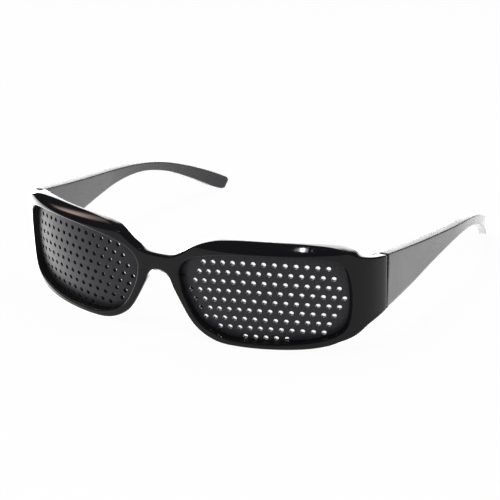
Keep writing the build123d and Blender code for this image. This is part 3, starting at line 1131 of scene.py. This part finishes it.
class GLASSES_OT_hinges(bpy.types.Operator):
    """Gives the hinge leaves and screws their plated steel"""

    bl_idname = "glasses.hinges"
    bl_label = "Finish the hinges"

    def execute(self, context):
        look = context.scene.glasses_look
        leaf_steel = plated_steel("plated_leaf_steel", look.steel, leaf_roughness)
        screw_steel = plated_steel("plated_screw_steel", look.screw_steel, screw_roughness)
        for side in SIDES:
            for leaf in ("_front_hinge_leaf", "_temple_hinge_leaf"):
                frame["nodes"][side + leaf].material_slots[0].material = leaf_steel
            frame["nodes"][side + "_hinge_screw"].material_slots[0].material = screw_steel
        return {"FINISHED"}


# The studio. Azimuths are in degrees from straight behind towards the wearer's left. Pairs after a lamp's
# place are where a soft edge starts and ends, in parts of a direction.

frame_pixels = 500
horizon_edge = (-0.02, 0.06)
# The softbox's azimuth and elevation, and the angles from its middle where it starts to fade and ends
softbox_patch = (-27, 17, 19, 26)
strip_way, strip_aside, strip_ahead = (0.89, 0.45), 0.032, 0.049
strip_side, strip_end, strip_floor = (0.005, 0.009), (0.09, 0.14), (0, 0.1)
warm_azimuth, warm_aside = -76, 0.1
warm_side, warm_foot, warm_head, warm_far = (0.01, 0.09), (0.5, 0.66), (0.68, 0.88), (-0.3, 0)
white_light, warm_light = (1.0, 1.0, 1.0), (1.0, 0.72, 0.6)
ceiling_glow = 0.01
key_place, key_size = (-0.25, -0.35, 1.2), (0.4, 0.3)


def make_camera(studio):
    """The camera at the photograph's view."""
    turned = (
        Matrix.Rotation(studio.camera_azimuth, 4, "Z")
        @ Matrix.Rotation(pi / 2 - studio.camera_elevation, 4, "X")
        @ Matrix.Rotation(studio.camera_roll, 4, "Z")
    )
    data = bpy.data.cameras.new("camera")
    data.sensor_fit = "HORIZONTAL"
    data.lens = studio.focal_pixels / frame_pixels * data.sensor_width
    data.clip_start = 0.01
    camera = bpy.data.objects.new("camera", data)
    camera.matrix_world = upright_to_frame() @ Matrix.Translation(studio.camera_place) @ turned
    bpy.context.scene.collection.objects.link(camera)
    bpy.context.scene.camera = camera


def seen_white(tree):
    """1 on rays that should show the plain white surroundings."""
    camera = tree.ray("Camera")
    return camera.maths("MAXIMUM", camera, tree.ray("Transmission"))


def make_floor(studio):
    """A pale floor, white to the camera but for the object's shadow. Reflections look through it."""
    tree = material_tree("pale_floor")
    white = tree.node("ShaderNodeEmission", {}, {"Strength": 1.0})
    shown = tree.mix(seen_white(tree) * studio.floor_glow, tree.diffuse(studio.floor_shade), white)
    clear = tree.node("ShaderNodeBsdfTransparent", {}, {})
    bm = bmesh.new()
    bmesh.ops.create_grid(bm, x_segments=1, y_segments=1, size=studio.floor_size / 2)
    floor = object_from(bm, "floor", tree.output(tree.mix(tree.ray("Glossy"), shown, clear)))


def make_surroundings(studio):
    """Plain white to the camera and even light all round, with more for reflections alone.

    They see a bright sweep and a softbox behind, a dim room, a lamp strip overhead and a warm lamp aside.
    """
    world = bpy.data.worlds.new("studio")
    bpy.context.scene.world = world
    tree = Tree(world)
    across, back, up = tree.axes(tree.node("ShaderNodeTexCoord", {}, {}, "Generated"))
    behind = 1 + back * cos(studio.sweep_azimuth) + across * sin(studio.sweep_azimuth)
    near_sweep = behind * behind
    horizon = 1 - up.step(*horizon_edge)
    room = horizon * (studio.room_glow + near_sweep * near_sweep * studio.sweep_glow)

    azimuth, elevation, inside, outside = (radians(angle) for angle in softbox_patch)
    level = cos(elevation)
    near = across * (level * sin(azimuth)) + back * (level * cos(azimuth)) + up * sin(elevation)
    softbox = near.step(cos(outside), cos(inside)) * studio.back_glow

    sine, cosine = strip_way
    aside = (across * sine + back * cosine + strip_aside).size()
    ahead = (back * sine - across * cosine + strip_ahead).size()
    strip = (1 - aside.step(*strip_side)) * (1 - ahead.step(*strip_end))
    glint = strip * up.step(*strip_floor) * studio.glint_glow

    azimuth = radians(warm_azimuth)
    aside = (across * cos(azimuth) - back * sin(azimuth) + warm_aside).size()
    height = up.step(*warm_foot) * (1 - up.step(*warm_head))
    warm = (1 - aside.step(*warm_side)) * height * (1 - across.step(*warm_far)) * studio.warm_glow

    cool = tree.background(white_light, ceiling_glow + room + softbox + glint)
    glossy_view = tree.node("ShaderNodeAddShader", {}, {0: cool, 1: tree.background(warm_light, warm)})
    plain = tree.background(white_light, studio.sky_light)
    lit = tree.mix(tree.ray("Glossy"), plain, glossy_view)
    tree.output(tree.mix(seen_white(tree), lit, tree.background(white_light, 1.0)), "ShaderNodeOutputWorld")


def make_key_lamp(studio):
    """A softbox overhead that faces the glasses and leaves no reflection."""
    data = bpy.data.lights.new("key", "AREA")
    data.shape = "RECTANGLE"
    data.size, data.size_y = key_size
    data.energy = studio.key_power
    lamp = bpy.data.objects.new("key", data)
    lamp.location = key_place
    lamp.rotation_euler = (-Vector(key_place)).to_track_quat("-Z", "Y").to_euler()
    lamp.visible_glossy = False
    bpy.context.scene.collection.objects.link(lamp)


class GLASSES_OT_stage(bpy.types.Operator):
    """Makes the camera, the floor, the surroundings and the lamp"""

    bl_idname = "glasses.stage"
    bl_label = "Make the studio"

    def execute(self, context):
        studio = context.scene.glasses_studio
        context.scene.view_settings.view_transform = "Standard"
        make_camera(studio)
        make_floor(studio)
        make_surroundings(studio)
        make_key_lamp(studio)
        return {"FINISHED"}


class GLASSES_PT_panel(bpy.types.Panel):
    """Lists the sizes, the colours and the steps"""

    bl_label = "Pinhole glasses"
    bl_idname = "GLASSES_PT_panel"
    bl_space_type = "VIEW_3D"
    bl_region_type = "UI"
    bl_category = "Glasses"

    def draw(self, context):
        for operator in OPERATORS:
            self.layout.operator(operator.bl_idname)
        for name in PROPERTY_GROUPS:
            group = getattr(context.scene, name)
            box = self.layout.box()
            for item in group.bl_rna.properties:
                if item.identifier not in ("rna_type", "name"):
                    box.prop(group, item.identifier)


PROPERTY_GROUPS = {
    "glasses_front": FrontSizes,
    "glasses_temple": TempleSizes,
    "glasses_hinge": HingeSizes,
    "glasses_look": LookSettings,
    "glasses_studio": StudioSettings,
}
OPERATORS = [GLASSES_OT_front, GLASSES_OT_plates, GLASSES_OT_temples, GLASSES_OT_hinges, GLASSES_OT_stage]


def register():
    for name, group in PROPERTY_GROUPS.items():
        bpy.utils.register_class(group)
        setattr(bpy.types.Scene, name, bpy.props.PointerProperty(type=group))
    for item in OPERATORS + [GLASSES_PT_panel]:
        bpy.utils.register_class(item)


def unregister():
    for item in OPERATORS + [GLASSES_PT_panel]:
        bpy.utils.unregister_class(item)
    for name, group in PROPERTY_GROUPS.items():
        delattr(bpy.types.Scene, name)
        bpy.utils.unregister_class(group)


def main():
    register()
    bpy.ops.glasses.front()
    bpy.ops.glasses.plates()
    bpy.ops.glasses.temples()
    bpy.ops.glasses.hinges()
    bpy.ops.glasses.stage()


if __name__ == "__main__":
    main()
